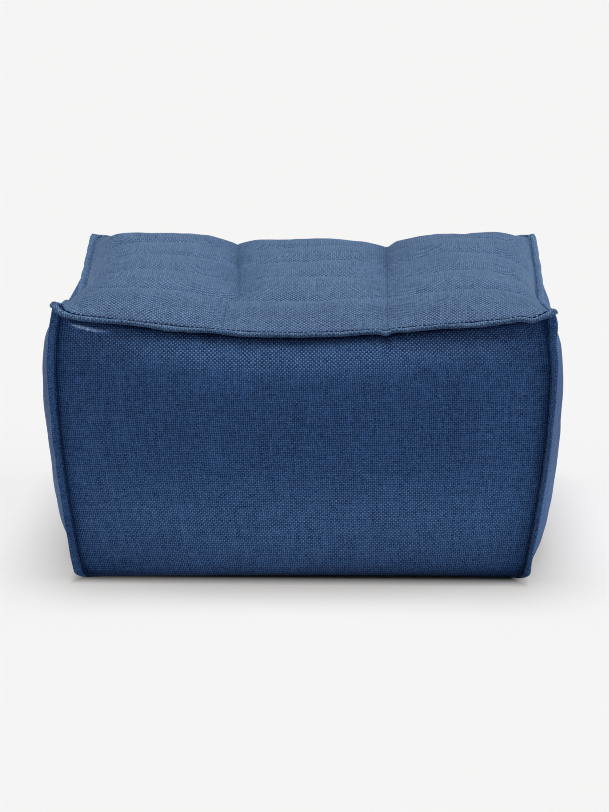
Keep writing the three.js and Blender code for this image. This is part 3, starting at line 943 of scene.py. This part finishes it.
def make_top_flange(name):
    side = SIDES[name]
    along_x = side["along_x"]
    half_along = TOP_HALF_WIDTH if along_x else TOP_HALF_DEPTH
    half_out = TOP_HALF_DEPTH if along_x else TOP_HALF_WIDTH
    s = np.linspace(-1, 1, TOP_FLANGE_STEPS + 1)
    s = np.sign(s) * np.abs(s) ** 0.96
    section = flange_section(FLANGE_WIDTH, False)
    away, over = section[:, 0], section[:, 1]
    # Painted shade in the seam and on the lower face, and painted light on the upper face towards the lip
    painted_shade = SEAM_SHADE[name] * np.clip(1.4 - away / STITCH_AWAY, 0, 1) + 0.6 * (1 - smooth(-2.5, 3.2, over))
    painted_shade = painted_shade - 0.3 * smooth(3, 7, away) * smooth(1, 3, over)
    seed = 50 + list(SIDES).index(name)
    calm = 1 - s**20
    lie = s * half_along
    lift = FLANGE_LIFT + calm * swells(lie, 0, TOP_FLANGE_SWELLS["lift"], seed)
    reach = 1 + calm * swells(lie, 0, TOP_FLANGE_SWELLS["reach"], seed)
    thick = 1 + swells(lie, 0, TOP_FLANGE_SWELLS["thick"], seed) + 0.2 * np.abs(s) ** 60
    height = seam_height(name, s) + GAP + FLANGE_THICKNESS / 2
    # The lip, rounded where two flanges meet at a corner
    nominal = np.abs(s) * (half_along + FLANGE_WIDTH)
    bend = half_along + FLANGE_WIDTH - LIP_ROUND
    turn = np.clip((nominal - bend) / LIP_ROUND, 0, 1) * math.pi / 4
    straight = np.minimum(nominal, bend)
    lip_along = np.sign(s) * (straight + LIP_ROUND * np.sin(turn))
    lip_away = FLANGE_WIDTH - LIP_ROUND + LIP_ROUND * np.cos(turn)
    skin = Skin()
    rings = []
    groove = []
    mitre = GAP / math.sqrt(2)
    share = away / FLANGE_WIDTH
    girth = section_girth(away, over)
    for n in range(TOP_FLANGE_STEPS + 1):
        distance = share * lip_away[n] * reach[n] + GAP
        along = lerp(s[n] * (half_along + GAP - mitre), lip_along[n] + np.sign(s[n]) * (GAP - mitre), share)
        across = side["out"] * (half_out + distance) + 0 * along
        z = height[n] + over * thick[n] + lift[n] * share
        points = np.stack([along, across, z] if along_x else [across, along, z], axis=1)
        cloth = np.stack([along, girth], axis=1)
        rings.append(skin.add(points, cloth, painted_shade * (1 - EAR_SHINE * np.abs(s[n]) ** 24)))
        groove.append(points[GROOVE_TOP])
    forwards = along_x != (side["out"] < 0)
    if not forwards:
        rings = rings[::-1]
    close_strip(skin, rings)
    skin.piece(f"flange_{name}_cloth", TOP_FLANGE_CLOTH, [f"flange_{name}"])
    sew(name, [(np.array(groove), np.array([0.0, 0.0, 1.0]))])


CORNERS = {
    "front_left": (-1, -1),
    "front_right": (1, -1),
    "back_left": (-1, 1),
    "back_right": (1, 1),
}


def corner_line(corner, z):
    """How far out the seam of a corner flange stands, in x and in y."""
    level = z / CORNER_LEVEL[corner]
    under = np.clip(BASE_ROUND - z, 0, BASE_ROUND)
    tuck = BASE_ROUND - np.sqrt(BASE_ROUND**2 - under**2)
    inner = GAP / math.sqrt(2) - CORNER_SETBACK / 2 - tuck
    seam_x = TOP_HALF_WIDTH + corner_spread("x", level) + inner
    seam_y = TOP_HALF_DEPTH + corner_spread("y", level) + inner
    return seam_x, seam_y


def make_corner_flange(corner):
    x_sign, y_sign = CORNERS[corner]
    seed = 90 + list(CORNERS).index(corner)
    top = CORNER_LEVEL[corner] - FLANGE_THICKNESS / 2 - GAP
    turn = np.linspace(0, math.pi / 2, FOOT_STEPS + 1)
    foot = FLANGE_FOOT + (FLANGE_FOOT_ROUND - FLANGE_FOOT) * (1 - np.cos(turn))
    z = np.concatenate([foot, np.linspace(FLANGE_FOOT_ROUND, top, CORNER_FLANGE_STEPS + 1)[1:]])
    lip = np.concatenate([lerp(0.05, 1, np.sin(turn)), np.ones(CORNER_FLANGE_STEPS)])
    section = flange_section(CORNER_FLANGE_WIDTH, True)
    away, over = section[:, 0], section[:, 1]
    # Painted shade in the seam of a corner flange
    painted_shade = 0.8 * np.clip(1.4 - away / STITCH_AWAY, 0, 1)
    calm = smooth(0, 40, z) * smooth(0, 30, top - z)
    sway = calm * swells(z, 0, CORNER_FLANGE_SWELLS["sway"], seed)
    if corner == "front_right":
        sway = sway - FORWARD_LEAN * smooth(-10, 30, z) * smooth(30, 150, top - z)
    thick = 1 + swells(z, 0, CORNER_FLANGE_SWELLS["thick"], seed)
    rise = FLANGE_RISE * smooth(top - 30, top, z)
    seam_x, seam_y = corner_line(corner, z)
    diagonal = math.sqrt(0.5)
    skin = Skin()
    rings = []
    roof = []
    floor = []
    share = away / CORNER_FLANGE_WIDTH
    girth = section_girth(away, over)
    for n in range(len(z)):
        reach = share * CORNER_FLANGE_WIDTH * lip[n]
        lean = over * thick[n] + sway[n] * share
        x = seam_x[n] + (reach + lean) * diagonal
        y = seam_y[n] + (reach - lean) * diagonal
        points = np.stack([x_sign * x, y_sign * y, z[n] + rise[n] * np.clip(share, 0, 1)], axis=1)
        cloth = np.stack([z[n] + 0 * x, girth], axis=1)
        rings.append(skin.add(points, cloth, painted_shade))
        roof.append(points[GROOVE_TOP])
        floor.append(points[GROOVE_LOW])
    if x_sign * y_sign > 0:
        rings = rings[::-1]
    close_strip(skin, rings)
    skin.piece(f"flange_{corner}_cloth", FLANGE_CLOTH, [f"flange_{corner}"])
    # The stitches start above the rounded foot, and show on both faces
    face = np.array([x_sign * diagonal, -y_sign * diagonal, 0.0])
    above_foot = FOOT_STEPS + 3
    sew(corner, [(np.array(roof)[above_foot:], face), (np.array(floor)[above_foot:], -face)])


make_body()
make_quilted_top()
for name in SIDES:
    make_top_flange(name)
for corner in CORNERS:
    make_corner_flange(corner)


# Floor, light and camera


FLOOR_REACH = 30         # metres
FLOOR_TINTS = ((0.408, 0.416, 0.432, 1), (0.420, 0.428, 0.444, 1))
# The floor's glow is painted light
FLOOR_GLOW = {"tint": (1, 0.965, 0.915, 1), "strength": 0.43}
# Half width and half depth of the painted shadow under the footstool, where the floor doesn't glow, in
# millimetres, and how fast the glow grows outside it, for each metre
FOOTPRINT = (316, 292)
GLOW_RISE = (40.0, 25.0)
AMBIENT = 0.08
# Strength, angle across in degrees, and turn in degrees from straight down
LAMPS = {
    "overhead": (2.95, 30, (-9, 0, 0)),
    "left": (0.8, 50, (0, -79, 0)),
    "right": (2.1, 50, (0, 82, 0)),
}
# Where the camera stands, in metres, how it is turned, in degrees, and its focal length as a share of the
# picture's height
CAMERA = {"place": (0.1209, -4.653, 1.3591), "tilt": 75.89, "turn": 1.48, "focal": 3084.7 / 812}
SENSOR = 36              # millimetres


def make_floor():
    mesh = bpy.data.meshes.new("floor")
    corners = [(x * FLOOR_REACH, y * FLOOR_REACH, 0) for x, y in ((-1, -1), (1, -1), (1, 1), (-1, 1))]
    mesh.from_pydata(corners, [], [(0, 1, 2, 3)])
    floor = bpy.data.objects.new("floor", mesh)
    bpy.context.scene.collection.objects.link(floor)
    g = Graph("pale_floor")
    place = g.nodes.new("ShaderNodeTexCoord").outputs["Object"]
    g.feed(g.shader.inputs["Base Color"], g.tint(g.noise(place, 3.0), *FLOOR_TINTS))
    g.shader.inputs["Roughness"].default_value = 0.9
    g.shader.inputs["Specular IOR Level"].default_value = 0.0
    # The glow stands for light from all round, which doesn't reach the floor under the footstool.
    split = g.nodes.new("ShaderNodeSeparateXYZ")
    g.feed(split.inputs[0], place)
    beyond = []
    for place_along, half, rise in zip(split.outputs, FOOTPRINT, GLOW_RISE):
        outside = g.math("SUBTRACT", g.math("ABSOLUTE", place_along), half * MM)
        beyond.append(g.times(outside, rise))
    glow = g.clip(g.add(g.math("MAXIMUM", *beyond), 0.1), 1.0)
    g.feed(g.shader.inputs["Emission Color"], g.tint(glow, (0, 0, 0, 1), FLOOR_GLOW["tint"]))
    g.shader.inputs["Emission Strength"].default_value = FLOOR_GLOW["strength"]
    mesh.materials.append(g.material)


def make_light():
    world = bpy.data.worlds.new("studio")
    bpy.context.scene.world = world
    world.use_nodes = True
    background = world.node_tree.nodes["Background"]
    background.inputs["Color"].default_value = (1, 1, 1, 1)
    background.inputs["Strength"].default_value = AMBIENT
    for name, (strength, across, turn) in LAMPS.items():
        lamp = bpy.data.lights.new(name, "SUN")
        lamp.energy = strength
        lamp.angle = math.radians(across)
        made = bpy.data.objects.new(name, lamp)
        made.rotation_euler = [math.radians(d) for d in turn]
        bpy.context.scene.collection.objects.link(made)


def make_camera():
    lens = bpy.data.cameras.new("camera")
    lens.sensor_width = SENSOR
    lens.lens = SENSOR * CAMERA["focal"]
    camera = bpy.data.objects.new("camera", lens)
    camera.location = CAMERA["place"]
    camera.rotation_euler = (math.radians(CAMERA["tilt"]), 0, math.radians(CAMERA["turn"]))
    bpy.context.scene.collection.objects.link(camera)
    bpy.context.scene.camera = camera


make_floor()
make_light()
make_camera()
bpy.context.scene.view_settings.view_transform = "Standard"
bpy.context.scene.cycles.filter_width = 1.0
bpy.context.scene.cycles.denoising_prefilter = "NONE"
